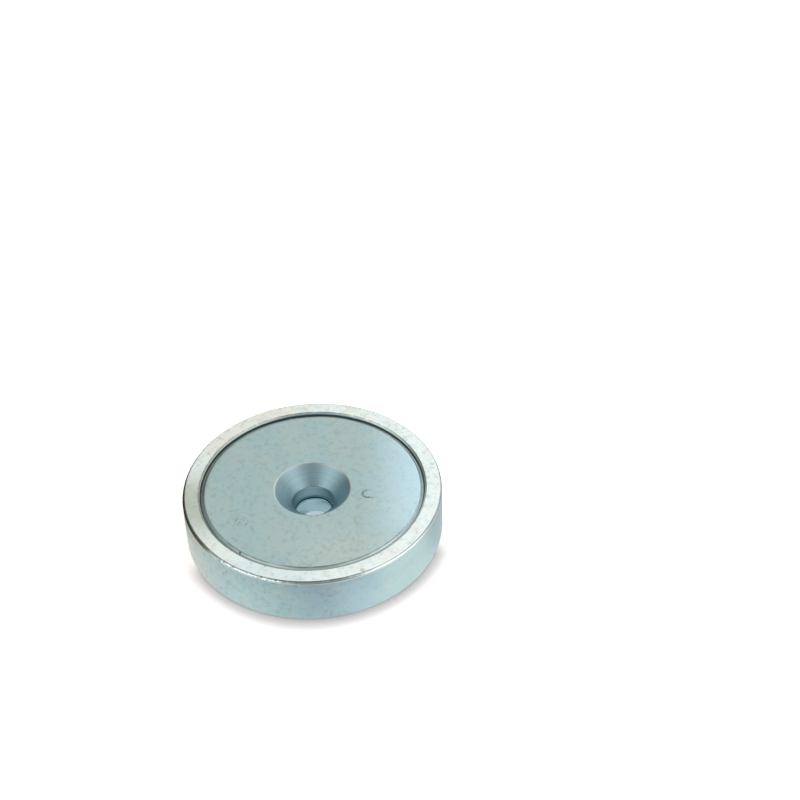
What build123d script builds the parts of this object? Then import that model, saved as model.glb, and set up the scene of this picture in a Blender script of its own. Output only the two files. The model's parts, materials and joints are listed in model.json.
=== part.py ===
from build123d import *
import os

# Pot magnet with a countersunk through-hole, in three pieces: a turned steel pot, a ring magnet in
# its cavity, and the adhesive that bonds the ring to the pot.  Sizes are in millimetres.  The origin
# is the centre of the pot's underside, and +Z runs along the hole, out of the holding face.

# Steel pot: a shallow turned cup with a straight bore through its base
pot_diameter = 75.0
pot_height = 15.0
wall_thickness = 4.95
base_thickness = 5.3
rim_outer_radius = 0.9  # rounding of the rim's outer edge
rim_inner_chamfer = 0.45  # breaks the rim's inner edge
underside_chamfer = 0.6  # breaks the underside's outer edge
bore_diameter = 10.5  # lets an M10 screw pass
bore_chamfer = 0.2  # breaks the edge at both ends of the bore

# Ring magnet: seated in the pot, its hole countersunk for the screw's head
face_recess = 0.4  # how far the magnet's face lies below the rim
magnet_gap = 0.6  # radial gap between the magnet and the cavity's wall
magnet_edge_chamfer = 0.8  # breaks the ring's two outer edges
throat_step = 0.75  # how much wider, in radius, the magnet's hole is than the bore
countersink_diameter = 22.0
countersink_angle = 90.0
countersink_lip_chamfer = 0.35  # breaks the edge between the face and the cone
throat_lip_chamfer = 0.25  # breaks the edge between the cone and the straight throat
throat_foot_chamfer = 0.3  # breaks the throat's lower end

# Adhesive: a thin layer under the magnet, most of the gap around it, and a bead at the throat's foot
bond_thickness = 0.15
groove_depth = 0.6  # open depth of the gap, from the magnet's face down to the adhesive
bead_width = 0.45  # how far the bead stands in from the throat's wall

# Sizes that follow from those above
pot_radius = pot_diameter / 2
cavity_radius = pot_radius - wall_thickness
bore_radius = bore_diameter / 2
magnet_radius = cavity_radius - magnet_gap
magnet_foot = base_thickness + bond_thickness
magnet_height = pot_height - face_recess - magnet_foot
face_radius = magnet_radius - magnet_edge_chamfer  # where the flat of the magnet's face ends
throat_radius = bore_radius + throat_step
countersink_radius = countersink_diameter / 2
bond_top = magnet_foot + magnet_height - groove_depth
bead_top = magnet_foot + throat_foot_chamfer


# Steel pot: a disc with a wide counterbore as the magnet's cavity and the bore below it
with BuildPart() as steel_pot:
    Cylinder(pot_radius, pot_height, align=(Align.CENTER, Align.CENTER, Align.MIN))
    with Locations((0, 0, pot_height)):
        CounterBoreHole(bore_radius, cavity_radius, pot_height - base_thickness)
    underside, cavity_floor, rim = steel_pot.faces().filter_by(GeomType.PLANE).sort_by(Axis.Z)
    underside_edges = underside.edges().sort_by(SortBy.RADIUS)
    floor_edges = cavity_floor.edges().sort_by(SortBy.RADIUS)
    rim_edges = rim.edges().sort_by(SortBy.RADIUS)
    fillet(rim_edges.last, rim_outer_radius)
    chamfer(rim_edges.first, rim_inner_chamfer)
    chamfer(underside_edges.last, underside_chamfer)
    chamfer([underside_edges.first, floor_edges.first], bore_chamfer)

# Ring magnet: a ring that stands on the bond layer, countersunk from its face
with BuildPart(Plane.XY.offset(magnet_foot)) as ring_magnet:
    Cylinder(magnet_radius, magnet_height, align=(Align.CENTER, Align.CENTER, Align.MIN))
    with Locations((0, 0, magnet_height)):
        CounterSinkHole(
            throat_radius, countersink_radius, counter_sink_angle=countersink_angle
        )
    circles = ring_magnet.edges().filter_by(GeomType.CIRCLE)
    foot_edges, throat_lip, face_edges = circles.group_by(Axis.Z)
    throat_foot, foot_rim = foot_edges.sort_by(SortBy.RADIUS)
    countersink_lip, face_rim = face_edges.sort_by(SortBy.RADIUS)
    chamfer([foot_rim, face_rim], magnet_edge_chamfer)
    chamfer(countersink_lip, countersink_lip_chamfer)
    chamfer(throat_lip, throat_lip_chamfer)
    chamfer(throat_foot, throat_foot_chamfer)

# Adhesive: what was poured into the cavity, less the pot and the magnet that it wets.  Its section
# is level across the gap and onto the magnet's edge, falls within the magnet, and slopes down the
# bead at the throat's foot.
with BuildPart() as adhesive:
    with BuildSketch(Plane.XZ):
        with BuildLine():
            Polyline(
                (cavity_radius, bond_top),
                (cavity_radius, base_thickness),
                (throat_radius - bead_width, base_thickness),
                (throat_radius, bead_top),
                (face_radius, bond_top),
                close=True,
            )
        make_face()
    revolve(axis=Axis.Z)
    add([steel_pot.part, ring_magnet.part], mode=Mode.SUBTRACT)

steel_pot.part.label = "steel_pot"
ring_magnet.part.label = "ring_magnet"
adhesive.part.label = "adhesive"

os.makedirs("parts", exist_ok=True)
export_step(steel_pot.part, "parts/steel_pot.step")
export_step(ring_magnet.part, "parts/ring_magnet.step")
export_step(adhesive.part, "parts/adhesive.step")
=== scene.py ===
"""Looks of a countersunk pot magnet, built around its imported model.

Three turned pieces stand for the three solids of the frame, at the same sizes and in the same place:
the zinc-plated steel pot, the plated ring magnet bonded in it, and the cured adhesive between them.
Named sizes are in millimetres and meshes are in metres.  The origin is the centre of the pot's
underside, and +Z runs up the hole, out of the holding face.
"""

import json
import logging
import math
from dataclasses import dataclass
from enum import Enum
from functools import reduce
from operator import add, mul
from typing import Any, Callable, Optional, Sequence, Union

import bpy
from mathutils import Matrix, Vector


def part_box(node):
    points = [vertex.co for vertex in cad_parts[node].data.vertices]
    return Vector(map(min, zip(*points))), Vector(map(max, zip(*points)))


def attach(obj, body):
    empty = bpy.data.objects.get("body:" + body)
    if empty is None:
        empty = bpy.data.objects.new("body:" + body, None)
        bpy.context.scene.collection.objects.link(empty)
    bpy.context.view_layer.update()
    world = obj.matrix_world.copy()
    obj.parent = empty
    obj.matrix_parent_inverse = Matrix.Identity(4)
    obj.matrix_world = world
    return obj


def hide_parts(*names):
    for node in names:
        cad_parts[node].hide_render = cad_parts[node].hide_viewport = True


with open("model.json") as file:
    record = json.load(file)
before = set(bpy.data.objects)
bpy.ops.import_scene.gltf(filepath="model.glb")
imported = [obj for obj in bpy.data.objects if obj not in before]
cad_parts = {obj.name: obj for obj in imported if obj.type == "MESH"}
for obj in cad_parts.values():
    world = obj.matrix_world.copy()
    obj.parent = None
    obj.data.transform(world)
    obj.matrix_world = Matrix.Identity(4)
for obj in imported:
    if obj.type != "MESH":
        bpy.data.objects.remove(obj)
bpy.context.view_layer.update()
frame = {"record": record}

log = logging.getLogger("pot_magnet")

MM = 0.001
BODY = "root"

Colour = tuple[float, float, float, float]
Point = tuple[float, float, float]
Span = tuple[float, ...]
Value = Union["Signal", float, Sequence[float]]
Sockets = dict[Union[str, int], Value]
Layers = tuple[tuple[Any, ...], ...]  # rows of a colour and where it shows


def srgb(red: int, green: int, blue: int) -> Colour:
    """Turns display values, 0 to 255, into the linear colour that a shader takes.

    Args:
        red: Display value of red.
        green: Display value of green.
        blue: Display value of blue.

    Returns:
        The linear colour, opaque.
    """

    def linear(value: int) -> float:
        """One channel of the display curve, undone."""
        share = value / 255
        return share / 12.92 if share <= 0.04045 else ((share + 0.055) / 1.055) ** 2.4

    return (linear(red), linear(green), linear(blue), 1.0)


def round_the_axis(radius: float, degrees: float, height: float) -> Point:
    """The point at a radius, an angle from +X towards +Y and a height."""
    angle = math.radians(degrees)
    return (radius * math.cos(angle), radius * math.sin(angle), height)


# ---- Node trees written as Python expressions ----


def math_node(operation: str, reflected: bool = False) -> Callable[..., "Signal"]:
    """Makes a method that puts a signal and its other operands through one Math node.

    Args:
        operation: The node's operation.
        reflected: Whether the other operand comes first.

    Returns:
        The method.
    """

    def method(self: "Signal", *others: Value) -> "Signal":
        """Adds the node to the signal's tree."""
        operands = (*others, self) if reflected else (self, *others)
        return self.sheet.node("ShaderNodeMath", dict(enumerate(operands)), operation=operation)

    return method


class Signal:
    """An output socket that takes part in Python expressions."""

    __add__ = math_node("ADD")
    __radd__ = math_node("ADD", reflected=True)
    __sub__ = math_node("SUBTRACT")
    __rsub__ = math_node("SUBTRACT", reflected=True)
    __mul__ = math_node("MULTIPLY")
    __rmul__ = math_node("MULTIPLY", reflected=True)
    __truediv__ = math_node("DIVIDE")
    __pow__ = math_node("POWER")
    __abs__ = math_node("ABSOLUTE")
    sqrt = math_node("SQRT")
    cosine = math_node("COSINE")
    sine = math_node("SINE")
    least = math_node("MINIMUM")  # the smaller of the two
    most = math_node("MAXIMUM")  # the larger of the two
    above = math_node("GREATER_THAN")  # 1 where this is over the other, and 0 elsewhere
    angle_of = math_node("ARCTAN2")  # of the point that has this as its Y and the other as its X

    def __init__(self, sheet: "Sheet", socket: bpy.types.NodeSocket) -> None:
        """Wraps an output socket of a sheet's tree."""
        self.sheet = sheet
        self.socket = socket

    def rise(self, none: float, full: float) -> "Signal":
        """A smooth step between two values, up or down.

        Args:
            none: The value that gives 0.
            full: The value that gives 1, above or below the other.

        Returns:
            The step, from 0 to 1.
        """
        if full < none:
            return 1 - self.rise(full, none)
        ends = {"Value": self, "From Min": none, "From Max": full}
        return self.sheet.node("ShaderNodeMapRange", ends, interpolation_type="SMOOTHSTEP")


class Sheet:
    """A node tree that is filled in from Python expressions."""

    def __init__(self, tree: bpy.types.NodeTree) -> None:
        """Starts on the emptied tree of a material, a world or a modifier."""
        self.tree = tree
        self.tree.nodes.clear()

    def node(
        self, kind: str, sockets: Optional[Sockets] = None, out: Union[str, int] = 0, **settings: Any
    ) -> Signal:
        """Adds a node.

        Args:
            kind: The node's type.
            sockets: Values or signals of the input sockets, by name or number.
            out: The output that is returned, by name or number.
            **settings: Properties of the node, set first.  "items" is the number of an Index Switch's.

        Returns:
            The signal of that output.
        """
        made = self.tree.nodes.new(kind)
        for name, value in settings.items():
            if name == "items":
                for _ in range(value - len(made.index_switch_items)):
                    made.index_switch_items.new()
            else:
                setattr(made, name, value)
        for key, value in (sockets or {}).items():
            self.feed(made.inputs[key], value)
        return Signal(self, made.outputs[out])

    def feed(self, socket: bpy.types.NodeSocket, value: Value) -> None:
        """Links a signal to an input socket, or writes a plain value on it.

        Args:
            socket: The input socket.
            value: What it gets.
        """
        if isinstance(value, Signal):
            self.tree.links.new(value.socket, socket)
        else:
            socket.default_value = value

    def end(self, kind: str, result: Signal) -> None:
        """Adds the tree's last node, of this type, and links the result to it."""
        self.feed(self.tree.nodes.new(kind).inputs[0], result)

    def surface(self, height: Signal, sockets: Sockets) -> None:
        """Ends a material's tree in a Principled shader.

        Args:
            height: The surface's relief, in millimetres.
            sockets: What the shader's other sockets get.
        """
        bump = self.node("ShaderNodeBump", {"Strength": 1.0, "Distance": MM, "Height": height})
        shader = self.node("ShaderNodeBsdfPrincipled", {**sockets, "Normal": bump})
        self.end("ShaderNodeOutputMaterial", shader)

    def blend(self, share: Value, first: Value, second: Value) -> Signal:
        """Mixes two colours: a share of 0 gives the first and 1 the second."""
        return self.node("ShaderNodeMix", {0: share, 6: first, 7: second}, out=2, data_type="RGBA")

    def vector(self, across: Value, along: Value, up: Value) -> Signal:
        """The vector of three values."""
        return self.node("ShaderNodeCombineXYZ", {0: across, 1: along, 2: up})

    def part(self, vector: Signal, axis: int) -> Signal:
        """One component of a vector."""
        return self.node("ShaderNodeSeparateXYZ", {0: vector}, out=axis)

    def scaled(self, vector: Signal, factor: Value) -> Signal:
        """A vector times a number."""
        return self.node("ShaderNodeVectorMath", {0: vector, "Scale": factor}, operation="SCALE")

    def compared(self, operation: str, first: Signal, second: Value) -> Signal:
        """What a Vector Math operation makes of two vectors, as one number."""
        return self.node("ShaderNodeVectorMath", {0: first, 1: second}, "Value", operation=operation)

    def noise(
        self, at: Signal, grain: float, detail: float, shift: Value = 0.0, roughness: float = 0.55
    ) -> Signal:
        """Soft random values, about 0.5 on average.

        Args:
            at: Where the value is read, in millimetres.
            grain: Size of one patch in millimetres.
            detail: Octaves of finer noise.
            shift: Moves the pattern, so that two noises differ.
            roughness: How strong the finer noise is.

        Returns:
            The value, from 0 to 1.
        """
        sockets = {"Vector": at, "W": shift, "Scale": 1 / grain, "Detail": detail}
        sockets["Roughness"] = roughness
        return self.node("ShaderNodeTexNoise", sockets, noise_dimensions="4D")


class Place:
    """Where a point of a turned piece is, in millimetres, as signals."""

    def __init__(self, sheet: Sheet) -> None:
        """Reads the object's coordinates in a material's tree."""
        self.sheet = sheet
        self.point = sheet.scaled(sheet.node("ShaderNodeTexCoord", out="Object"), 1 / MM)
        self.x, self.y, self.z = (sheet.part(self.point, axis) for axis in range(3))
        self.radius = (self.x * self.x + self.y * self.y).sqrt()

    def turned(self, pitch: float, sweep: float) -> Signal:
        """A point whose noise is drawn out round the axis, as tool marks are.

        Args:
            pitch: How much finer the pattern is across the marks.
            sweep: How long a mark is, in degrees.

        Returns:
            The stretched point.
        """
        angle = self.y.angle_of(self.x)
        around = 60 / sweep
        across = self.radius * pitch
        return self.sheet.vector(
            angle.cosine() * around + across, angle.sine() * around - across, self.z * pitch
        )


def facing(across: Signal, along: Signal, distance: Signal, degrees: float) -> Signal:
    """Cosine of the angle between the direction (across, along) and one given from +X towards +Y."""
    angle = math.radians(degrees)
    return (across * math.cos(angle) + along * math.sin(angle)) / distance


def spread(nearness: Signal, reach: float, core: float) -> Signal:
    """From the cosine of an angle, 1 where that angle is under the core and 0 beyond the reach."""
    return nearness.rise(math.cos(math.radians(reach)), math.cos(math.radians(core)))


def new_material(name: str) -> tuple[bpy.types.Material, Place]:
    """Makes an empty node material.

    Args:
        name: Its name.

    Returns:
        The material, and the place of its points in its tree.
    """
    material = bpy.data.materials.new(name)
    material.use_nodes = True
    return material, Place(Sheet(material.node_tree))


# ---- Finishes ----


@dataclass(frozen=True)
class Noise:
    """Soft random values all over a piece, about 0.5 on average."""

    grain: float  # size of one patch
    detail: float  # octaves of finer noise
    shift: float  # which pattern it is
    pitch: float = 0.0  # drawn out round the axis, how much finer it is across the marks
    sweep: float = 0.0  # drawn out round the axis, how long a mark is in degrees

    def over(self, at: Place) -> Signal:
        """The value at a point, from 0 to 1."""
        point = at.turned(self.pitch, self.sweep) if self.sweep else at.point
        return at.sheet.noise(point, self.grain, self.detail, self.shift)


@dataclass(frozen=True)
class Mask:
    """Where something shows on a piece: between soft ends, where a noise is strong, or both.

    What bounds it has two values, where nothing and all of it shows, or four: nothing, all, still
    all and nothing again.
    """

    strength: float = 1.0
    x: Span = ()
    y: Span = ()
    z: Span = ()
    radius: Span = ()
    noise: Optional[Noise] = None
    span: Span = ()  # of the noise

    def share(self, at: Place) -> Signal:
        """How much of it shows at a point.

        Args:
            at: The point.

        Returns:
            A value from 0 to the strength.
        """
        spans = [(at.x, self.x), (at.y, self.y), (at.z, self.z), (at.radius, self.radius)]
        if self.noise:
            spans.append((self.noise.over(at), self.span))
        steps = [value.rise(*span[:2]) for value, span in spans if span]
        steps += [value.rise(span[3], span[2]) for value, span in spans if len(span) > 2]
        return reduce(mul, steps) * self.strength


def laid(at: Place, colour: Value, layers: Layers) -> Value:
    """Lays colours over each other.

    Args:
        at: The point of the surface.
        colour: The lowest colour.
        layers: Each further colour, from the lowest up, with the masks or signals that are added up
            to how much of it shows.

    Returns:
        The colour that results.
    """
    for tone, *masks in layers:
        shares = [mask.share(at) if isinstance(mask, Mask) else mask for mask in masks]
        colour = at.sheet.blend(reduce(add, shares), colour, tone)
    return colour


class MarkKind(Enum):
    """What a mark on the plating is, by how deep it goes in millimetres."""

    SCRATCH = 0.02
    STAIN = 0.0


@dataclass(frozen=True)
class ArcMark:
    """A thin mark that follows an arc on a flat face."""

    kind: MarkKind
    centre: tuple[float, float]
    radius: float
    start: float  # degrees
    sweep: float  # degrees
    width: float
    strength: float = 0.5
    core: float = 0.3  # share of its width that is at full strength
    taper: float = 0.5  # how far it fades past its ends, as a share of its width

    def mask(self, at: Place) -> Signal:
        """Where the mark is.

        Args:
            at: The point that is tested.

        Returns:
            1 on the mark and 0 beside it.
        """
        across, along = at.x - self.centre[0], at.y - self.centre[1]
        distance = (across * across + along * along).sqrt()
        half = abs(self.sweep) / 2
        soft_end = math.degrees(self.taper * self.width / self.radius)
        near = abs(distance - self.radius).rise(self.width, self.width * self.core)
        middle = facing(across, along, distance, self.start + self.sweep / 2)
        return near * spread(middle, half + soft_end, half)


@dataclass(frozen=True)
class Fleck:
    """A small stain or pit, round or drawn out sideways."""

    centre: Point
    size: float
    strength: float
    flatness: float = 1.0  # how many times wider than high it is
    raggedness: float = 1.6  # how far noise moves its edge, as a share of its size
    core: float = 0.25  # share of its size that is at full strength

    def mask(self, at: Place, ragged: Signal) -> Signal:
        """How much of the stain shows, with a ragged edge.

        Args:
            at: The point that is tested.
            ragged: Noise that breaks the edge up.

        Returns:
            A value from 0 to the strength.
        """
        across, along = at.x - self.centre[0], at.y - self.centre[1]
        up = (at.z - self.centre[2]) * self.flatness
        distance = (across * across + along * along + up * up).sqrt()
        distance = distance + (ragged - 0.5) * self.size * self.raggedness
        return distance.rise(self.size, self.size * self.core) * self.strength


@dataclass(frozen=True)
class Plating:
    """What both plated finishes have: scratches, stains and a metal shader."""

    name: str = "plating"
    scratched: Colour = srgb(78, 92, 92)
    stained: Colour = srgb(128, 134, 122)
    turning: float = 0.0  # anisotropy of a turned surface
    ragged: Noise = Noise(0.7, 3.0, 8.0)  # breaks up the edges of marks
    unbroken: Span = (0.36, 0.5)  # its values where arcs are gone and whole
    marks: tuple[ArcMark, ...] = ()
    flecks: tuple[Fleck, ...] = ()

    def finish(
        self, at: Place, colour: Value, height: Signal, flat: Signal, roughness: Signal
    ) -> None:
        """Draws the marks over the plain plating and ends the tree in a metal shader.

        Args:
            at: The point of the surface.
            colour: The plain plating's colour.
            height: Its relief, in millimetres.
            flat: Where the arcs may lie.
            roughness: The plating's roughness.
        """
        ragged = self.ragged.over(at)
        colour = laid(at, colour, tuple((self.stained, fleck.mask(at, ragged)) for fleck in self.flecks))
        unbroken = flat * ragged.rise(*self.unbroken)
        for mark in self.marks:
            stroke = mark.mask(at) * unbroken * mark.strength
            tone = self.scratched if mark.kind is MarkKind.SCRATCH else self.stained
            colour = at.sheet.blend(stroke, colour, tone)
            height = height - stroke * mark.kind.value
        metal = {"Base Color": colour, "Metallic": 1.0, "Roughness": roughness, "Anisotropic": self.turning}
        at.sheet.surface(height, metal)


@dataclass(frozen=True, kw_only=True)
class ZincPlate(Plating):
    """Bright zinc plating on the turned pot: satin wall, paler ground rim, polished rounding between."""

    name: str = "zinc_plate"
    turning: float = 0.4
    rim_plane: float  # height of the rim
    rim_outside: float  # radius where the rim's flat ends
    rim_inside: float  # radius where it starts
    rounding: float  # of the rim's outer edge
    wall_roughness: float = 0.34
    rim_roughness: float = 0.32
    edge_roughness: float = 0.17
    streak_depth: float = 0.003
    fine_depth: float = 0.004
    wave_depth: float = 0.03
    streaks: Noise = Noise(1.0, 3.0, 5.0, pitch=3.0, sweep=25.0)
    fine: Noise = Noise(0.35, 3.0, 9.0)
    waves: Noise = Noise(1.1, 2.0, 15.0)
    mottle: Noise = Noise(1.3, 5.0, 3.0)
    blotch: Noise = Noise(2.0, 5.0, 33.0)
    creamy: Noise = Noise(4.5, 3.0, 13.0)
    cyan: Colour = srgb(180, 208, 208)
    blue: Colour = srgb(165, 193, 205)
    wall: Layers = (
        (
            # painted reflection: the wall's front middle darker and bluer; the noise share is tone at
            # random
            blue,
            Mask(0.7, x=(-13.0, 0.0, 12.5, 22.5), radius=(20.0, 30.0)),
            Mask(0.22, noise=Noise(9.0, 3.0, 0.0), span=(0.4, 0.6)),
        ),
        # painted reflection: teal darkens the wall at the front left
        (srgb(162, 193, 192), Mask(0.6, x=(-20.0, -9.0, -8.0, 2.0))),  # teal
        (
            srgb(200, 205, 192),  # straw
            Mask(0.6, x=(-20.0, -36.0)),
            Mask(0.3, noise=Noise(6.0, 3.0, 21.0), span=(0.5, 0.8)),
            Mask(0.35, x=(-24.0, -34.0), z=(6.0, 2.0)),
        ),
        (srgb(178, 208, 194), Mask(0.3, x=(24.0, 33.0))),  # green
        # painted shade: a darker blue at the wall's right end
        (blue, Mask(0.6, x=(30.0, 36.5))),
        # painted light: the wall paler at the upper right
        (srgb(204, 228, 228), Mask(0.35, x=(15.0, 24.0, 31.0, 36.0), z=(8.5, 12.5))),  # pale
    )
    pink: Colour = srgb(192, 205, 204)
    pink_blotches: Mask = Mask(0.4, noise=blotch, span=(0.5, 0.64))
    blue_blotches: Mask = Mask(0.4, noise=blotch, span=(0.5, 0.36))
    worked_left: Mask = Mask(0.75, x=(20.0, 4.0))
    worked_all: float = 0.25
    wall_ends: Layers = (
        # painted shade: the wall darker at its upper left
        (srgb(172, 170, 154), Mask(0.7, x=(-29.0, -36.0), z=(6.0, 13.0))),  # shade at the left
        # painted reflection of the floor along the wall's foot
        (srgb(186, 202, 204), Mask(0.5, z=(1.8, 0.4))),  # foot
        (srgb(168, 203, 212), Mask(radius=(9.0, 7.0))),  # bore
    )
    speck: Colour = srgb(92, 106, 104)
    wall_mottle: Mask = Mask(0.36, noise=mottle, span=(0.48, 0.8))
    pits: Mask = Mask(noise=Noise(1.0, 2.0, 7.0, pitch=2.2, sweep=3.0), span=(0.6, 0.7))
    speck_clouds: Mask = Mask(noise=Noise(6.0, 2.0, 11.0), span=(0.42, 0.6))
    specks_left: Mask = Mask(0.11, x=(16.0, -6.0))
    specks_all: float = 0.03
    handled: Mask = Mask(y=(14.0, -4.0), z=(0.05, 0.5))  # the back and the underside stay plain
    white: Colour = srgb(233, 246, 244)
    rim: Layers = (
        (
            srgb(234, 242, 228),  # cream
            Mask(0.66, noise=creamy, span=(0.42, 0.6)),
            Mask(-0.4, x=(14.0, 30.0), noise=creamy, span=(0.42, 0.6)),
        ),
        (srgb(234, 234, 232), Mask(0.7, noise=Noise(3.5, 3.0, 17.0), span=(0.48, 0.64))),  # rosy
        # painted reflection tint: the rim bluer in front
        (srgb(212, 232, 238), Mask(0.45, x=(-27.0, -20.0, -3.0, 5.0), y=(-23.0, -31.0))),  # blue
        # painted reflection tint: the rim warmer behind, at the left
        (srgb(242, 238, 224), Mask(0.55, x=(2.0, -12.0), y=(6.0, 22.0))),  # warm
    )
    # a darker, mottled stretch of the rim at the left
    darkened_left: Colour = srgb(186, 194, 178)
    darkened_left_zone: Mask = Mask(x=(-19.0, -31.0), y=(-27.0, -9.0, -3.0, 12.0))
    grey: Colour = srgb(178, 192, 184)
    rim_mottle: Mask = Mask(0.62, noise=mottle, span=(0.44, 0.78))
    edge: Colour = srgb(223, 236, 235)
    # painted dark reflection on the rim's rounded edge at the left
    edge_dark_reflection: Colour = srgb(134, 138, 118)
    dark_reflection_left: Mask = Mask(x=(-25.5, -30.5), y=(10.0, -2.0))
    # burr lines that also paint the dark reflection along the rim's edges
    burr_and_dark_reflection: Colour = srgb(98, 106, 90)
    # painted dark reflection of the dim front on the rounded edge
    dark_reflection_front: Mask = Mask(0.22, x=(-9.0, -3.0, 9.0, 16.0))
    # painted dark patches that break the edge's highlight at the left
    scuffed_dark_reflection: Mask = Mask(0.6, x=(2.0, -6.0), noise=Noise(1.1, 4.0, 41.0), span=(0.5, 0.6))
    # how strong the painted dark line is, less at the right and at the back
    line_all: float = 0.65
    line_lost_right: Mask = Mask(0.35, x=(4.0, 18.0))
    line_lost_back: Mask = Mask(0.65, y=(2.0, 14.0))

    def material(self) -> bpy.types.Material:
        """Builds the node material."""
        material, at = new_material(self.name)
        mottle = self.mottle.over(at)
        on_rim = at.z.rise(self.rim_plane - 0.4, self.rim_plane - 0.08)
        on_edge = at.radius.rise(self.rim_outside - 0.05, self.rim_outside + 0.2)
        on_edge = on_edge * (at.z - self.rim_plane + self.rounding).rise(-0.2, 0.1)
        specks = self._specks(at) * (1 - on_rim * 0.7)
        layers = (
            (self._rim(at, mottle), on_rim),
            # the rounded edge, with a painted dark reflection at the left
            (laid(at, self.edge, ((self.edge_dark_reflection, self.dark_reflection_left),)), on_edge * 0.9),
            # burr lines with painted dark reflections along the rim's edges
            (self.burr_and_dark_reflection, self._burrs_and_dark_reflections(at, mottle)),
            (self.speck, specks),
        )
        height = self.streaks.over(at) * self.streak_depth + self.fine.over(at) * self.fine_depth
        height = height + self.waves.over(at) * on_edge * self.wave_depth
        roughness = self.wall_roughness + (self.rim_roughness - self.wall_roughness) * on_rim
        roughness = roughness + (mottle - 0.5) * 0.12 + specks * 0.2
        roughness = roughness * (1 - on_edge) + on_edge * self.edge_roughness
        self.finish(at, laid(at, self._wall(at), layers), height, on_rim, roughness)
        return material

    def _wall(self, at: Place) -> Value:
        """The wall's colour: blue and teal in front as painted dark reflection, cyan beside it, painted
        shade at the right end and upper left, painted light at the upper right, a painted reflection of the
        floor at the foot, with breaths of straw, pink and green.
        """
        worked = (self.worked_left.share(at) + self.worked_all) * self.handled.share(at)
        blotches = (
            (self.pink, self.pink_blotches.share(at) * worked),
            (self.blue, self.blue_blotches.share(at) * worked),
        )
        mottled = (self.speck, self.wall_mottle.share(at) * worked)
        return laid(at, self.cyan, (*self.wall, *blotches, *self.wall_ends, mottled))

    def _rim(self, at: Place, mottle: Signal) -> Value:
        """The rim's colour: white, cream and pink patches mottled with grey, a painted reflection tint
        bluer in front and warmer behind, darker at the left.
        """
        darkened_left = (self.darkened_left, self.darkened_left_zone.share(at) * (0.62 + mottle * 0.5))
        return laid(at, self.white, (*self.rim, darkened_left, (self.grey, self.rim_mottle)))

    def _burrs_and_dark_reflections(self, at: Place, mottle: Signal) -> Signal:
        """Dull burr lines along both edges of the rim, partly painted dark reflection, broader in front
        with a painted dark reflection of the dim front, and broken at the left by painted dark patches over
        the edge's highlight.
        """
        outwards, inwards = at.radius - self.rim_outside, self.rim_inside - at.radius
        outer = outwards.rise(0.16, 0.32)
        line = outer * outwards.rise(0.72, 0.56) * (self.line_all - self.line_lost_right.share(at))
        line = line * (1 - self.line_lost_back.share(at))
        outer = line.most(outer * self.dark_reflection_front.share(at).most(self.scuffed_dark_reflection.share(at)))
        inner = inwards.rise(-0.15, -0.02) * inwards.rise(0.2, 0.05)
        near = at.z.rise(self.rim_plane - 1.0, self.rim_plane - 0.7)
        return (outer + inner * 0.65) * mottle.rise(0.25, 0.5) * near

    def _specks(self, at: Place) -> Signal:
        """Small dark pits, gathered here and there."""
        amount = (self.specks_left.share(at) + self.specks_all) * self.handled.share(at)
        return self.pits.share(at) * self.speck_clouds.share(at) * amount


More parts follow.
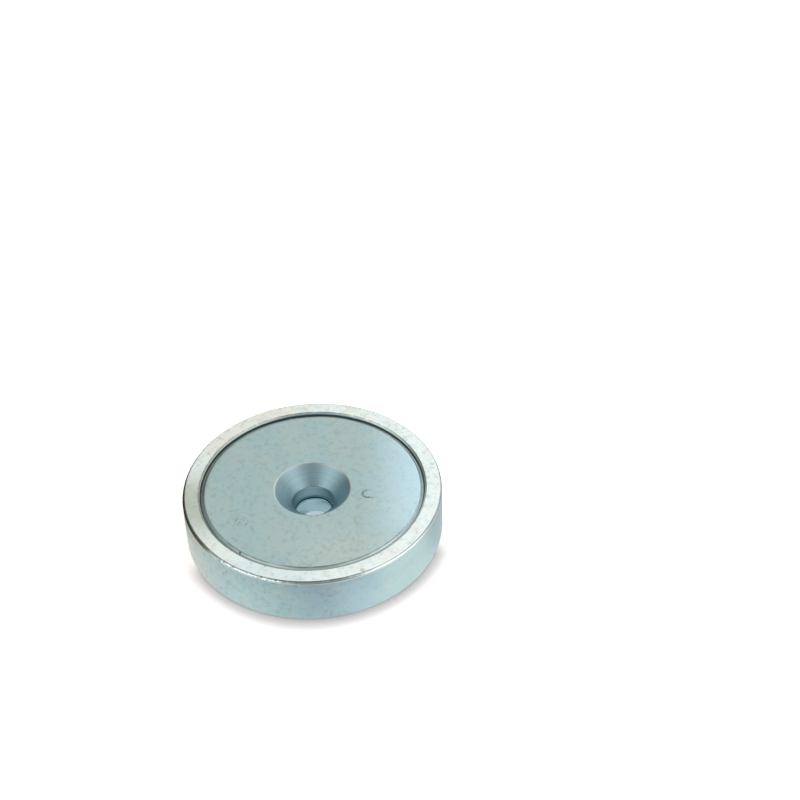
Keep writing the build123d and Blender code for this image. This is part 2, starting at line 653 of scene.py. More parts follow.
@dataclass(frozen=True, kw_only=True)
class MagnetPlate(Plating):
    """Satin plating on the sintered ring: soft grey-cyan, turning rings in the countersink, marks."""

    name: str = "magnet_plate"
    cone_radius: float
    throat_radius: float
    bevel_radius: float  # where the flat of the face ends
    face_plane: float
    roughness: float = 0.42
    worn_roughness: float = 0.32
    ring_grain: float = 0.28  # of the turning rings
    ring_depth: float = 0.012
    fine_depth: float = 0.005
    cloud_depth: float = 0.006
    fine: Noise = Noise(0.3, 3.0, 6.0)
    cloud: Noise = Noise(1.3, 5.0, 2.0)
    cool: Colour = srgb(168, 192, 193)
    face: Layers = (
        (srgb(174, 193, 190), Mask(noise=Noise(9.0, 3.0, 0.0), span=(0.36, 0.64))),  # warm
        (srgb(186, 200, 193), Mask(0.6, x=(-12.0, 6.0), y=(-9.0, -25.0))),  # front
        # painted light: the face lighter and bluer at the right
        (
            srgb(202, 231, 241),  # bright
            Mask(0.5, x=(12.0, 32.0)),
            Mask(0.35, x=(12.0, 32.0), y=(-24.0, -10.0)),
        ),
        (
            srgb(132, 150, 148),  # dull
            Mask(0.42, noise=cloud, span=(0.46, 0.76)),
            Mask(-0.25, x=(12.0, 26.0), noise=cloud, span=(0.46, 0.76)),
        ),
    )
    cone: Colour = srgb(158, 188, 196)
    throat: Colour = srgb(146, 178, 189)
    worn_highlight: Colour = srgb(192, 204, 200)
    # painted light: the polished edges lighter at the right and in front
    painted_edge_lights: Layers = (
        (srgb(238, 248, 250), Mask(x=(14.0, 27.0))),  # bright at the right
        (srgb(222, 238, 231), Mask(x=(-14.0, -4.0, 8.0, 18.0), y=(-26.0, -29.0))),  # front
    )
    # the bevel darker at the back left
    darkened_left: Mask = Mask(0.3, x=(6.0, -6.0), y=(-6.0, 3.0), radius=(30.0, 31.5))
    # painted shade: a dark line where the face turns into its bevel; the same colour paints the real clot
    clot_and_shade_line: Colour = srgb(66, 78, 74)
    shade_line_front: Mask = Mask(x=(-28.0, -23.5, 25.0, 28.5), y=(3.0, -5.0))
    shade_line_breaks: Mask = Mask(0.45, noise=Noise(5.0, 3.0, 31.0), span=(0.3, 0.55))
    clot_angle: float = -128.4  # degrees from +X
    clot_size: float = 0.55

    def material(self) -> bpy.types.Material:
        """Builds the node material."""
        material, at = new_material(self.name)
        on_face = at.z.rise(self.face_plane - 0.3, self.face_plane - 0.05)
        in_cone = at.radius.rise(self.cone_radius + 0.2, self.cone_radius - 0.3) * (1 - on_face)
        in_throat = at.radius.rise(self.throat_radius + 0.7, self.throat_radius + 0.3)
        section = at.sheet.vector(at.radius, at.z, 0.0)
        rings = at.sheet.noise(section, self.ring_grain, detail=2.0, shift=4.0)
        cloud = self.cloud.over(at)
        worn_highlight = self._edges(at)
        layers = (
            *self.face,
            (self.cone, in_cone),
            (self.throat, in_throat),
            (self.scratched, rings.rise(0.5, 0.75) * in_cone * 0.24),
            # polished edges, painted lighter as highlights
            (laid(at, self.worn_highlight, self.painted_edge_lights), worn_highlight * 0.9),
            (self.scratched, self.darkened_left),
            # the painted shade line at the bevel, and the clot
            (self.clot_and_shade_line, self._shade_line_and_clot(at)),
        )
        height = rings * in_cone * self.ring_depth + self.fine.over(at) * self.fine_depth
        height = height + cloud * self.cloud_depth
        roughness = (self.roughness + (cloud - 0.5) * 0.12) * (1 - worn_highlight) + worn_highlight * self.worn_roughness
        self.finish(at, laid(at, self.cool, layers), height, on_face, roughness)
        return material

    def _edges(self, at: Place) -> Signal:
        """Where handling has polished the edges, painted lighter as highlights: the bevel, the
        countersink's lip and the throat's.
        """
        bevel = at.radius.rise(self.bevel_radius, self.bevel_radius + 0.3)
        lip = abs(at.radius - self.cone_radius + 0.15).rise(0.4, 0.2)
        throat = abs(at.radius - self.throat_radius - 0.1).rise(0.4, 0.2)
        low = at.z.rise(self.face_plane - 4.6, self.face_plane - 4.9)
        high = at.z.rise(self.face_plane - 5.8, self.face_plane - 5.4)
        return bevel.most(lip * 0.7).most(throat * low * high * 0.5)

    def _shade_line_and_clot(self, at: Place) -> Signal:
        """A thin broken line of painted shade where the face turns into its bevel, and one dark clot in it.
        """
        line = abs(at.radius - self.bevel_radius - 0.12).rise(0.22, 0.1)
        line = line * self.shade_line_front.share(at) * self.shade_line_breaks.share(at)
        place = round_the_axis(self.bevel_radius + 0.4, self.clot_angle, self.face_plane - 0.3)
        return line.most(Fleck(place, self.clot_size, 1.0).mask(at, self.ragged.over(at)))


@dataclass(frozen=True)
class CuredAdhesive:
    """Dark epoxy: thin and paler where it climbs the magnet's bevel, with painted light at the right and
    painted shade at the back left, teal in the throat, dusty in spots.
    """

    cavity_radius: float
    name: str = "cured_adhesive"
    roughness: float = 0.34
    dusty_roughness: float = 0.3  # what dust adds
    fine: Noise = Noise(0.5, 2.0, 3.0)
    fine_depth: float = 0.03
    dark: Colour = srgb(48, 60, 52)
    dusty: Colour = srgb(110, 122, 114)
    dust: Mask = Mask(noise=Noise(0.9, 3.0, 0.0), span=(0.5, 0.75))
    filled: Colour = srgb(200, 208, 196)
    filled_front: Mask = Mask(0.85, y=(-20.0, -31.0))
    thin: Colour = srgb(158, 172, 166)
    # painted light: the thin layer paler at the right
    thin_painted_light: Layers = ((srgb(212, 226, 226), Mask(x=(14.0, 27.0))),)  # bright at the right
    thin_all: float = 0.9
    # painted shade: less of the paler thin layer at the back left
    thin_lost_to_painted_shade: Mask = Mask(0.4, x=(-23.0, -28.0), y=(8.0, 0.0))
    teal: Colour = srgb(106, 176, 192)
    in_throat: Mask = Mask(radius=(8.0, 7.0))

    def material(self) -> bpy.types.Material:
        """Builds the node material."""
        material, at = new_material(self.name)
        dust = self.dust.share(at)
        climbing = at.radius.rise(self.cavity_radius - 0.3, self.cavity_radius - 0.65)
        thin = climbing * (self.thin_all - self.thin_lost_to_painted_shade.share(at))
        layers = (
            (self.dusty, dust * 0.6),
            (self.filled, self.filled_front),
            (laid(at, self.thin, self.thin_painted_light), thin),
            (self.teal, self.in_throat),
        )
        roughness = self.roughness + dust * self.dusty_roughness
        look = {"Base Color": laid(at, self.dark, layers), "Roughness": roughness}
        at.sheet.surface(self.fine.over(at) * self.fine_depth, look)
        return material


# ---- Turned pieces ----


@dataclass(frozen=True)
class Corner:
    """One corner of a turned section."""

    name: str
    radius: float
    height: float
    rounding: float


@dataclass(frozen=True)
class Ding:
    """A small dent, deepest at its centre, or a lump where its depth is negative."""

    name: str
    centre: Point
    size: float
    depth: float
    floor: float = 0.2  # share of its size that is at full depth


class Lathe:
    """A Geometry Nodes tree that turns a rounded section about +Z and then wears or dents it."""

    def __init__(self, name: str, corners: Sequence[Corner]) -> None:
        """Builds the tree up to the plain turned body.

        Args:
            name: Name of the tree.
            corners: The section's corners, in order, closed from the last to the first.
        """
        self.values: dict[str, Any] = {}
        self.tree = bpy.data.node_groups.new(name, "GeometryNodeTree")
        self.sheet = Sheet(self.tree)
        self.entry = self.tree.nodes.new("NodeGroupInput")
        self._section(corners)
        self._sweep()
        self.place = self.sheet.node("GeometryNodeInputPosition")
        self.normal = self.sheet.node("GeometryNodeInputNormal")
        self.where = self.sheet.scaled(self.place, 1 / MM)

    def _input(self, name: str, kind: str, value: Any) -> Signal:
        """Adds a named input, with the value that the modifier gives it."""
        self.tree.interface.new_socket(name, in_out="INPUT", socket_type=kind)
        self.values[name] = value
        return Signal(self.sheet, self.entry.outputs[name])

    def _length(self, name: str, value: float) -> Signal:
        """Adds a named length, written in millimetres and given in metres."""
        return self._input(name, "NodeSocketFloat", value * MM)

    def _section(self, corners: Sequence[Corner]) -> None:
        """Draws the section as a closed curve with rounded corners."""
        sheet, count = self.sheet, len(corners)
        self.spine = self._length("Spine radius", sum(c.radius for c in corners) / count)
        index = sheet.node("GeometryNodeInputIndex")
        places: Sockets = {0: index}
        roundings: Sockets = {0: index}
        for number, corner in enumerate(corners, start=1):
            radius = self._length(f"{corner.name} radius", corner.radius)
            height = self._length(f"{corner.name} height", corner.height)
            places[number] = sheet.vector(radius - self.spine, height * -1, 0.0)
            roundings[number] = self._length(f"{corner.name} rounding", corner.rounding)
        place = sheet.node("GeometryNodeIndexSwitch", places, data_type="VECTOR", items=count)
        rounding = sheet.node("GeometryNodeIndexSwitch", roundings, data_type="FLOAT", items=count)
        sockets = {"Count": count, "Position": place, "Radius": rounding}
        points = sheet.node("GeometryNodePoints", sockets)
        line = sheet.node("GeometryNodePointsToCurves", {"Points": points})
        loop = sheet.node("GeometryNodeSetSplineCyclic", {0: line, "Cyclic": True})
        steps = self._input("Rounding steps", "NodeSocketInt", 10)
        radii = sheet.node("GeometryNodeInputRadius")
        rounded = {"Curve": loop, "Count": steps, "Radius": radii}
        self.section = sheet.node("GeometryNodeFilletCurve", rounded, mode="POLY")

    def _sweep(self) -> None:
        """Carries the section once round the axis."""
        sheet = self.sheet
        steps = self._input("Steps around", "NodeSocketInt", 900)
        size = {"Resolution": steps, "Radius": self.spine}
        circle = sheet.node("GeometryNodeCurvePrimitiveCircle", size, mode="RADIUS")
        upright = sheet.node("GeometryNodeSetCurveNormal", {"Curve": circle}, mode="Z_UP")
        curves = {"Curve": upright, "Profile Curve": self.section}
        outwards = sheet.node("GeometryNodeFlipFaces", {0: sheet.node("GeometryNodeCurveToMesh", curves)})
        self.body = sheet.node("GeometryNodeSetShadeSmooth", {0: outwards})

    def _move(self, offset: Signal) -> None:
        """Moves the body's points."""
        self.body = self.sheet.node("GeometryNodeSetPosition", {0: self.body, "Offset": offset})

    def wear(self, depth: float, seed: float) -> None:
        """Makes the rounded edges slightly uneven and leaves the flats true.

        Args:
            depth: How much the edges lose at most.
            seed: Which pattern they lose it in.
        """
        loss = self._length("Wear depth", depth)
        pattern = self._input("Wear seed", "NodeSocketFloat", seed)
        lean = self.sheet.part(self.normal, 2)
        on_edge = 4 * lean * lean * (1 - lean * lean)
        broad = self.sheet.noise(self.where, 20 / 7, 3.0, pattern, roughness=0.5)
        self._move(self.sheet.scaled(self.normal, (broad - 0.62).least(0.0) * on_edge * loss * 6))

    def ripple(self, level: float, depth: float, seed: float) -> None:
        """Makes the part above a level gently uneven in height.

        Args:
            level: The height above which points move.
            depth: How far they move at most, down or up.
            seed: Which pattern they move in.
        """
        reach = self._length("Ripple depth", depth)
        above = self.sheet.part(self.place, 2).above(self._length("Ripple level", level))
        pattern = self._input("Ripple seed", "NodeSocketFloat", seed)
        waves = self.sheet.noise(self.where, 10 / 3, 2.0, pattern, roughness=0.5)
        self._move(self.sheet.vector(0.0, 0.0, (waves - 0.5) * 3 * reach * above))

    def dent(self, ding: Ding) -> None:
        """Presses one small dent into the surface, or raises a lump where its depth is negative.

        Args:
            ding: The dent.
        """
        size = self._length(f"{ding.name} size", ding.size)
        depth = self._length(f"{ding.name} depth", ding.depth)
        centre = tuple(c * MM for c in ding.centre)
        middle = self._input(f"{ding.name} centre", "NodeSocketVector", centre)
        distance = self.sheet.compared("DISTANCE", self.place, middle)
        amount = (distance / size).rise(1.0, ding.floor) * depth * -1
        self._move(self.sheet.scaled(self.normal, amount))

    def _close(self) -> None:
        """Ends the tree in a plain mesh with its finish."""
        finish = self._input("Finish", "NodeSocketMaterial", None)
        real = self.sheet.node("GeometryNodeRealizeInstances", {0: self.body})
        dressed = self.sheet.node("GeometryNodeSetMaterial", {0: real, "Material": finish})
        self.tree.interface.new_socket("Geometry", in_out="OUTPUT", socket_type="NodeSocketGeometry")
        self.sheet.end("NodeGroupOutput", dressed)

    def turn(self, name: str, finish: bpy.types.Material) -> bpy.types.Object:
        """Makes the piece as a plain mesh.

        Args:
            name: Name of the piece.
            finish: Its material.

        Returns:
            The piece, at the origin, with no modifier left.
        """
        self._close()
        self.values["Finish"] = finish
        piece = bpy.data.objects.new(name, bpy.data.meshes.new(name))
        bpy.context.scene.collection.objects.link(piece)
        modifier = piece.modifiers.new("Lathe", "NODES")
        modifier.node_group = self.tree
        for item in self.tree.interface.items_tree:
            if item.in_out == "INPUT":
                modifier[item.identifier] = self.values[item.name]
        flat = piece.modifiers.new("Flat faces", "WEIGHTED_NORMAL")
        flat.weight = 100
        depsgraph = bpy.context.evaluated_depsgraph_get()
        mesh = bpy.data.meshes.new_from_object(piece.evaluated_get(depsgraph), depsgraph=depsgraph)
        piece.modifiers.clear()
        mesh.name = name
        piece.data = mesh
        return piece


def seat(piece: bpy.types.Object, node: str) -> None:
    """Puts a finished piece in the frame in place of a solid.

    Args:
        piece: The piece, at the origin.
        node: The solid that it stands for.
    """
    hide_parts(node)
    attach(piece, BODY)
    log.info("%s: %d faces, replaces %s", piece.name, len(piece.data.polygons), node)


@dataclass
class SteelPot:
    """The turned cup with a bore through its base."""

    radius: float
    height: float
    cavity_radius: float
    base: float
    bore_radius: float
    rim_outer: float = 0.9  # rounding
    rim_inner: float = 0.45  # chamfer
    soft_edge: float = 0.12  # rounding of the chamfer's edges
    underside: float = 0.7
    bore_edge: float = 0.25
    corner: float = 0.3
    wear: float = 0.03
    wear_seed: float = 4.0
    knock_inset: float = 0.25  # from the wall to the middle of a knock
    knock_drop: float = 0.35  # from the rim to the middle of a knock

    def _knocks(self) -> list[Ding]:
        """The small knocks in the rim's outer edge, as angle, size and depth."""
        knocks = (
            (-136.0, 0.6, 0.06),
            (-130.6, 0.7, 0.10),
            (-127.2, 0.5, 0.07),
            (-125.6, 0.8, 0.12),
            (-117.5, 0.5, 0.06),
            (-110.5, 0.7, 0.08),
            (-104.0, 0.5, 0.06),
        )
        radius, height = self.radius - self.knock_inset, self.height - self.knock_drop
        return [
            Ding(f"Knock {count}", round_the_axis(radius, angle, height), size, depth)
            for count, (angle, size, depth) in enumerate(knocks, start=1)
        ]

    def _stains(self) -> tuple[Fleck, ...]:
        """The larger dark dashes on the wall and the dull spots on the rim."""
        dashes = (  # angle, height, size and strength
            (-153.0, 3.6, 0.6, 0.4),
            (-139.2, 5.7, 0.5, 0.4),
            (-128.3, 11.8, 0.7, 0.45),
            (-113.2, 13.6, 0.4, 0.5),
            (-109.0, 3.9, 0.8, 0.6),
            (-107.5, 9.6, 0.5, 0.5),
            (-104.2, 12.0, 0.5, 0.45),
            (-99.2, 4.1, 0.5, 0.6),
            (-95.0, 9.3, 0.6, 0.45),
            (-86.8, 11.1, 0.5, 0.4),
            (-85.6, 1.4, 0.5, 0.5),
            (-78.5, 0.8, 0.5, 0.5),
            (-66.0, 7.0, 0.4, 0.3),
        )
        spots = (  # angle, radius, size and strength
            (141.5, 35.9, 0.7, 0.35),
            (-112.0, 33.2, 0.5, 0.5),
            (-82.0, 35.6, 0.5, 0.25),
            (-66.5, 36.3, 0.9, 0.4),
            (-41.0, 33.7, 0.6, 0.3),
            (-169.0, 34.1, 0.9, 0.2),
        )
        wall = [
            Fleck(round_the_axis(self.radius, angle, height), size, strength, flatness=2.2)
            for angle, height, size, strength in dashes
        ]
        rim = [
            Fleck(round_the_axis(radius, angle, self.height), size, strength, flatness=3.0)
            for angle, radius, size, strength in spots
        ]
        return (*wall, *rim)

    def corners(self) -> list[Corner]:
        """The section, from the bore's lower edge outwards and round."""
        return [
            Corner("Bore foot", self.bore_radius, 0.0, self.bore_edge),
            Corner("Underside", self.radius, 0.0, self.underside),
            Corner("Rim outside", self.radius, self.height, self.rim_outer),
            Corner("Rim inside", self.cavity_radius + self.rim_inner, self.height, self.soft_edge),
            Corner("Cavity lip", self.cavity_radius, self.height - self.rim_inner, self.soft_edge),
            Corner("Cavity floor", self.cavity_radius, self.base, self.corner),
            Corner("Bore top", self.bore_radius, self.base, self.bore_edge),
        ]

    def build(self) -> None:
        """Turns the pot, knocks its edge, dresses it and seats it."""
        finish = ZincPlate(
            rim_plane=self.height,
            rim_outside=self.radius - self.rim_outer,
            rim_inside=self.cavity_radius + self.rim_inner,
            rounding=self.rim_outer,
            marks=(ArcMark(MarkKind.SCRATCH, (-9.0, -29.0), 9.4, -33.0, 10.0, 0.12),),
            flecks=self._stains(),
        ).material()
        lathe = Lathe("Pot lathe", self.corners())
        lathe.wear(self.wear, self.wear_seed)
        for ding in self._knocks():
            lathe.dent(ding)
        seat(lathe.turn("pot_shell", finish), "steel_pot")


@dataclass
class RingMagnet:
    """The plated ring with rounded edges and a countersunk hole."""

    radius: float
    foot: float
    face: float
    countersink_radius: float = 11.0
    throat_radius: float = 6.0
    edge: float = 0.8  # bevel of both outer edges
    soft_edge: float = 0.45  # rounding of the bevel's edges
    lip: float = 0.8
    throat_lip: float = 0.5
    throat_foot: float = 0.3
    wear: float = 0.02
    wear_seed: float = 9.0

    @staticmethod
    def _marks() -> tuple[ArcMark, ...]:
        """Hair lines, one deeper hook beside the countersink, and faint round prints."""
        scratch, stain = MarkKind.SCRATCH, MarkKind.STAIN
        return (
            ArcMark(scratch, (1.6, -26.0), 4.9, -170.0, 80.0, 0.14, 0.3),
            ArcMark(scratch, (16.0, -2.9), 1.5, 100.0, 190.0, 0.5, 0.62),
            ArcMark(scratch, (16.6, -6.6), 2.2, 60.0, 55.0, 0.3, 0.6),
            ArcMark(stain, (-20.4, -13.0), 1.3, 20.0, 250.0, 0.22, 0.45),
            ArcMark(stain, (-20.4, -13.0), 2.3, -60.0, 200.0, 0.18, 0.35),
            ArcMark(stain, (-20.0, -12.6), 3.4, 40.0, 120.0, 0.18, 0.3),
            ArcMark(stain, (14.5, -13.0), 2.4, 10.0, 290.0, 0.22, 0.22),
        )

    def _stains(self) -> tuple[Fleck, ...]:
        """The brownish flecks on the face, as X, Y, size and strength."""
        flecks = (
            (-21.4, -12.1, 0.55, 0.55),
            (-20.4, -13.3, 0.8, 0.4),
            (-18.6, -13.8, 0.55, 0.5),
            (-21.9, -19.2, 0.6, 0.35),
            (-21.0, -20.4, 0.8, 0.3),
            (-13.5, 9.0, 0.5, 0.3),
            (-24.0, 4.5, 0.4, 0.3),
        )
        return tuple(
            Fleck((across, along, self.face), size, strength)
            for across, along, size, strength in flecks
        )

    def corners(self) -> list[Corner]:
        """The section, from the throat's foot outwards and round."""
        throat_top = self.face - (self.countersink_radius - self.throat_radius)
        return [
            Corner("Throat foot", self.throat_radius, self.foot, self.throat_foot),
            Corner("Foot bevel inside", self.radius - self.edge, self.foot, self.soft_edge),
            Corner("Foot bevel outside", self.radius, self.foot + self.edge, self.soft_edge),
            Corner("Face bevel outside", self.radius, self.face - self.edge, self.soft_edge),
            Corner("Face bevel inside", self.radius - self.edge, self.face, self.soft_edge),
            Corner("Countersink lip", self.countersink_radius, self.face, self.lip),
            Corner("Throat lip", self.throat_radius, throat_top, self.throat_lip),
        ]

    def build(self) -> None:
        """Turns the ring, dresses it and seats it."""
        finish = MagnetPlate(
            cone_radius=self.countersink_radius,
            throat_radius=self.throat_radius,
            bevel_radius=self.radius - self.edge,
            face_plane=self.face,
            marks=self._marks(),
            flecks=self._stains(),
        ).material()
        lathe = Lathe("Ring lathe", self.corners())
        lathe.wear(self.wear, self.wear_seed)
        seat(lathe.turn("magnet_ring", finish), "ring_magnet")


@dataclass
class BondLine:
    """The cured adhesive: a floor layer, the filled gap with its meniscus, and the throat's bead."""

    cavity_radius: float
    magnet_radius: float
    base: float
    foot: float
    face: float
    top: float
    edge: float = 0.8  # bevel of the magnet's outer edges
    throat_radius: float = 6.0
    throat_foot: float = 0.3
    bead: float = 0.45
    sag: float = 0.15  # how far the meniscus hangs between its lips
    sag_rounding: float = 0.5
    ripple_height: float = 0.5  # how far below its top the ripple starts
    ripple: float = 0.12
    ripple_seed: float = 2.0
    lump_angle: float = -128.6  # degrees from +X
    lump_inset: float = 0.45  # from the cavity's wall
    lump_size: float = 0.45
    lump_height: float = 0.3

    def corners(self) -> list[Corner]:
        """The section, from the bead's toe outwards and round."""
        on_bevel = self.magnet_radius - self.edge + self.face - self.top
        middle = (self.cavity_radius + on_bevel) / 2
        return [
            Corner("Bead toe", self.throat_radius - self.bead, self.base, 0.0),
            Corner("Floor", self.cavity_radius, self.base, 0.0),
            Corner("Outer lip", self.cavity_radius, self.top, 0.0),
            Corner("Meniscus", middle, self.top - self.sag, self.sag_rounding),
            Corner("Inner lip", on_bevel, self.top, 0.0),
            Corner("Bevel foot", self.magnet_radius, self.face - self.edge, 0.0),
            Corner("Foot edge", self.magnet_radius, self.foot + self.edge, 0.0),
            Corner("Foot", self.magnet_radius - self.edge, self.foot, 0.0),
            Corner("Bead inside", self.throat_radius + self.throat_foot, self.foot, 0.0),
            Corner("Bead top", self.throat_radius, self.foot + self.throat_foot, 0.0),
        ]

    def build(self) -> None:
        """Turns the bond, ripples its top, dresses it and seats it."""
        finish = CuredAdhesive(cavity_radius=self.cavity_radius).material()
        lathe = Lathe("Bond lathe", self.corners())
        lathe.ripple(self.top - self.ripple_height, self.ripple, self.ripple_seed)
        lump = round_the_axis(self.cavity_radius - self.lump_inset, self.lump_angle, self.top)
        lathe.dent(Ding("Lump", lump, self.lump_size, -self.lump_height))
        seat(lathe.turn("bond_line", finish), "adhesive")


# ---- Studio ----


@dataclass(frozen=True)
class Glow:
    """A soft round patch of the surroundings."""

    azimuth: float  # degrees from +Y towards +X
    elevation: float  # degrees
    reach: float  # degrees from its centre to where it has faded
    core: float  # degrees from its centre to where it starts to fade
    level: float

    def light(self, sheet: Sheet, towards: Signal) -> Signal:
        """How bright the patch is in one direction.

        Args:
            sheet: The world's tree.
            towards: The direction, one unit long.

        Returns:
            The brightness that the patch adds.
        """
        a, e = math.radians(self.azimuth), math.radians(self.elevation)
        centre = (math.sin(a) * math.cos(e), math.cos(a) * math.cos(e), math.sin(e))
        return spread(sheet.compared("DOT_PRODUCT", towards, centre), self.reach, self.core) * self.level


@dataclass(frozen=True)
class Sector:
    """A brighter stretch of the floor round the pot, as the plating mirrors it."""

    angle: float  # degrees from +X
    reach: float  # degrees from its middle to where it has faded
    core: float  # degrees from its middle to where it starts to fade
    level: float

    def light(self, at: Place) -> Signal:
        """How much brightness the sector adds at a point of the floor."""
        nearness = facing(at.x, at.y, at.radius, self.angle)
        return spread(nearness, self.reach, self.core) * self.level


@dataclass
class Studio:
    """Floor, surroundings and camera."""

    floor_size: float = 3.0  # metres
    paper: Colour = srgb(230, 230, 230)  # the floor as it lights the pieces
    seen_tone: float = 1.86  # lifts the floor to white where the camera sees it
    seen_tint: tuple[float, float, float] = (1.0, 0.94, 0.934)
    # painted light: how much lighter the floor is made in the bore
    bore_painted_light: float = 1.3  # how much lighter the floor is in the bore
    in_bore: Span = (8.0, 7.0)
    contact: float = 1.4  # how steeply the floor darkens where the pot stands on it
    contact_reach: float = 8.2
    contact_gain: float = 1.13  # weakens the contact shadow all round
    contact_lost: Mask = Mask(0.1, x=(-5.0, -28.0))
    contact_added: Mask = Mask(0.03, x=(16.0, 32.0))
    darkest: float = 0.42  # the least share of light that the contact shadow keeps
    shadow_side: float = -85.0  # degrees from +X
    shadow_spread: Span = (0.26, 0.46)  # cosines from that side where the shadow starts and is full
    shadow_start: Span = (20.0, 30.0)  # radii between which it comes in
    mirrored_tone: float = 0.2  # the floor's shaded share as the plating mirrors it
    mirrored_glow: float = 0.37  # its even share
    mirrored_near: float = 0.36  # what is added near the pot
    near: Span = (62.0, 38.0)
    far: Span = (70.0, 110.0)
    sectors: tuple[Sector, ...] = (
        Sector(222.0, 50.0, 20.0, 0.14),
        Sector(313.0, 38.0, 12.0, 0.25),
        Sector(324.0, 26.0, 8.0, 0.05),
        Sector(148.0, 42.0, 20.0, -0.34),
    )
    far_sectors: tuple[Sector, ...] = (
        Sector(221.0, 42.0, 24.0, 0.35),
        Sector(338.0, 42.0, 24.0, 0.4),
        Sector(280.0, 30.0, 14.0, -0.34),
        Sector(160.0, 34.0, 18.0, -0.2),
    )
    ambient: float = 0.43
    glows: tuple[Glow, ...] = (
        Glow(0.0, 40.0, 60.0, 15.0, 0.37),
        Glow(35.0, 35.0, 35.0, 5.0, 0.55),
        Glow(0.0, 70.0, 22.0, 12.0, 0.5),
        Glow(45.0, 65.0, 22.0, 12.0, 0.15),
        Glow(-90.0, 60.0, 22.0, 10.0, 0.4),
        Glow(90.0, 60.0, 22.0, 10.0, 0.4),
        Glow(-130.0, 38.0, 24.0, 10.0, 0.5),
        Glow(130.0, 38.0, 24.0, 10.0, 0.5),
        Glow(-100.0, 30.0, 25.0, 10.0, 0.4),
        Glow(-130.0, 5.0, 34.0, 18.0, 0.9),
        Glow(112.0, 8.0, 36.0, 20.0, 1.1),
        Glow(-54.0, 4.0, 34.0, 16.0, -0.32),
        Glow(180.0, 32.0, 44.0, 20.0, -0.05),
    )
    camera_place: Point = (26.061, -355.456, 354.540)
    camera_pitch: float = 40.837  # degrees below the horizon
    camera_roll: float = -1.669  # degrees
    camera_nearest: float = 10.0
    focal_length: float = 76.5
    sensor: float = 36.0

    def build(self) -> None:
        """Makes the whole studio."""
        self._floor()
        self._surroundings()
        self._camera()

    def _floor(self) -> None:
        """A pale floor that keeps the object's shadow, and can't be seen from below."""
        half = self.floor_size / 2
        mesh = bpy.data.meshes.new("floor")
        square = [(-half, -half, 0.0), (half, -half, 0.0), (half, half, 0.0), (-half, half, 0.0)]
        mesh.from_pydata(square, [], [(0, 1, 2, 3)])
        floor = bpy.data.objects.new("floor", mesh)
        bpy.context.scene.collection.objects.link(floor)
        material, at = new_material("floor_paper")
        sheet = at.sheet
        camera, glossy, through = (
            sheet.node("ShaderNodeLightPath", out=f"Is {ray} Ray")
            for ray in ("Camera", "Glossy", "Transmission")
        )
        mirrored = glossy.most(through)
        tone = sheet.blend(mirrored, self.paper, (self.mirrored_tone,) * 3 + (1.0,))
        matt = sheet.node("ShaderNodeBsdfDiffuse", {"Color": sheet.blend(camera, tone, self._seen(at))})
        even = sheet.node("ShaderNodeEmission", {"Strength": mirrored * self._mirrored(at)})
        lit = sheet.node("ShaderNodeAddShader", {0: matt, 1: even})
        clear = sheet.node("ShaderNodeBsdfTransparent")
        under = sheet.node("ShaderNodeNewGeometry", out="Backfacing")
        shader = sheet.node("ShaderNodeMixShader", {0: under, 1: lit, 2: clear})
        sheet.end("ShaderNodeOutputMaterial", shader)
        mesh.materials.append(material)

    def _mirrored(self, at: Place) -> Signal:
        """How brightly the plating mirrors a point of the floor."""
        glow = at.radius.rise(*self.near) * self.mirrored_near + self.mirrored_glow
        far = at.radius.rise(*self.far)
        for sector in self.sectors:
            glow = sector.light(at) + glow
        for sector in self.far_sectors:
            glow = sector.light(at) * far + glow
        return glow

    def _seen(self, at: Place) -> Signal:
        """The floor's colour for the camera: white, with a contact shadow in front of the pot and painted
        light in the bore.
        """
        reach = {"Distance": self.contact_reach * MM}
        open_share = at.sheet.node("ShaderNodeAmbientOcclusion", reach, out="AO", samples=8)
        in_front = facing(at.x, at.y, at.radius, self.shadow_side).rise(*self.shadow_spread)
        in_front = in_front * at.radius.rise(*self.shadow_start)
        gain = self.contact_lost.share(at) - self.contact_added.share(at) + self.contact_gain
        shaded = ((open_share * gain).least(1.0) ** self.contact).most(self.darkest)
        in_bore = at.radius.rise(*self.in_bore) * (self.bore_painted_light - 1) + 1
        level = (1 - in_front + in_front * shaded) * in_bore * self.seen_tone
        return at.sheet.vector(*(level * tint for tint in self.seen_tint))

    def _surroundings(self) -> None:
        """A pale room of soft patches, plain white where the camera looks."""
        world = bpy.data.worlds.new("studio")
        bpy.context.scene.world = world
        world.use_nodes = True
        sheet = Sheet(world.node_tree)
        towards = sheet.node("ShaderNodeTexCoord", out="Generated")
        level: Value = self.ambient
        for glow in self.glows:
            level = glow.light(sheet, towards) + level
        camera = sheet.node("ShaderNodeLightPath", out="Is Camera Ray")
        shade = sheet.blend(camera, sheet.vector(level, level, level), (1.0, 1.0, 1.0, 1.0))
        light = sheet.node("ShaderNodeBackground", {"Color": shade, "Strength": 1.0})
        sheet.end("ShaderNodeOutputWorld", light)

    def _camera(self) -> None:
        """The camera, below the horizon by its pitch and rolled a little."""
        lens = bpy.data.cameras.new("camera")
        lens.lens = self.focal_length
        lens.sensor_width = self.sensor
        lens.clip_start = self.camera_nearest * MM
        camera = bpy.data.objects.new("camera", lens)
        bpy.context.scene.collection.objects.link(camera)
        tilt = Matrix.Rotation(math.radians(90 - self.camera_pitch), 4, "X")
        roll = Matrix.Rotation(math.radians(self.camera_roll), 4, "Z")
        place = Matrix.Translation(Vector(self.camera_place) * MM)
        camera.matrix_world = place @ tilt @ roll
        bpy.context.scene.camera = camera
        bpy.context.scene.view_settings.view_transform = "Standard"


def radius_and_heights(node: str) -> tuple[float, float, float]:
    """Outer radius, foot and top of a turned solid of the frame, in millimetres."""
    low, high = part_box(node)
    return high.x / MM, low.z / MM, high.z / MM


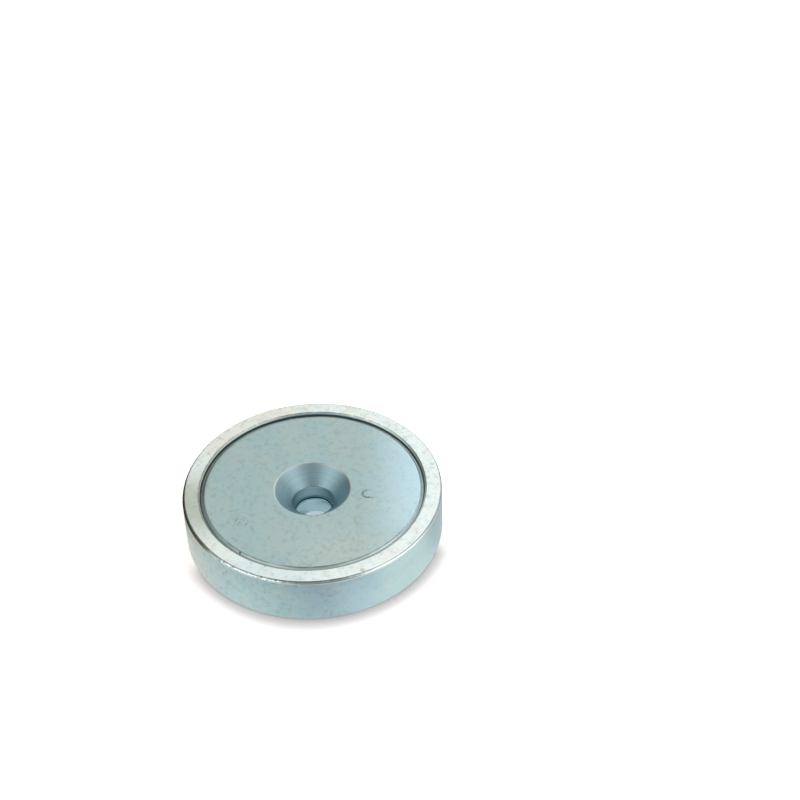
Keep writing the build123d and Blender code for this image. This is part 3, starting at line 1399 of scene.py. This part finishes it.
def main() -> None:
    """Builds the pieces in order, then the studio."""
    logging.basicConfig(level=logging.INFO, format="%(message)s")
    pot_radius, _, pot_height = radius_and_heights("steel_pot")
    magnet_radius, foot, face = radius_and_heights("ring_magnet")
    cavity_radius, base, bond_top = radius_and_heights("adhesive")
    bore = next(m for m in frame["record"]["mounts"] if m["kind"] == "bore")
    SteelPot(pot_radius, pot_height, cavity_radius, base, bore["dims"]["r_mm"]).build()
    RingMagnet(magnet_radius, foot, face).build()
    BondLine(cavity_radius, magnet_radius, base, foot, face, bond_top).build()
    Studio().build()


if __name__ == "__main__":
    main()
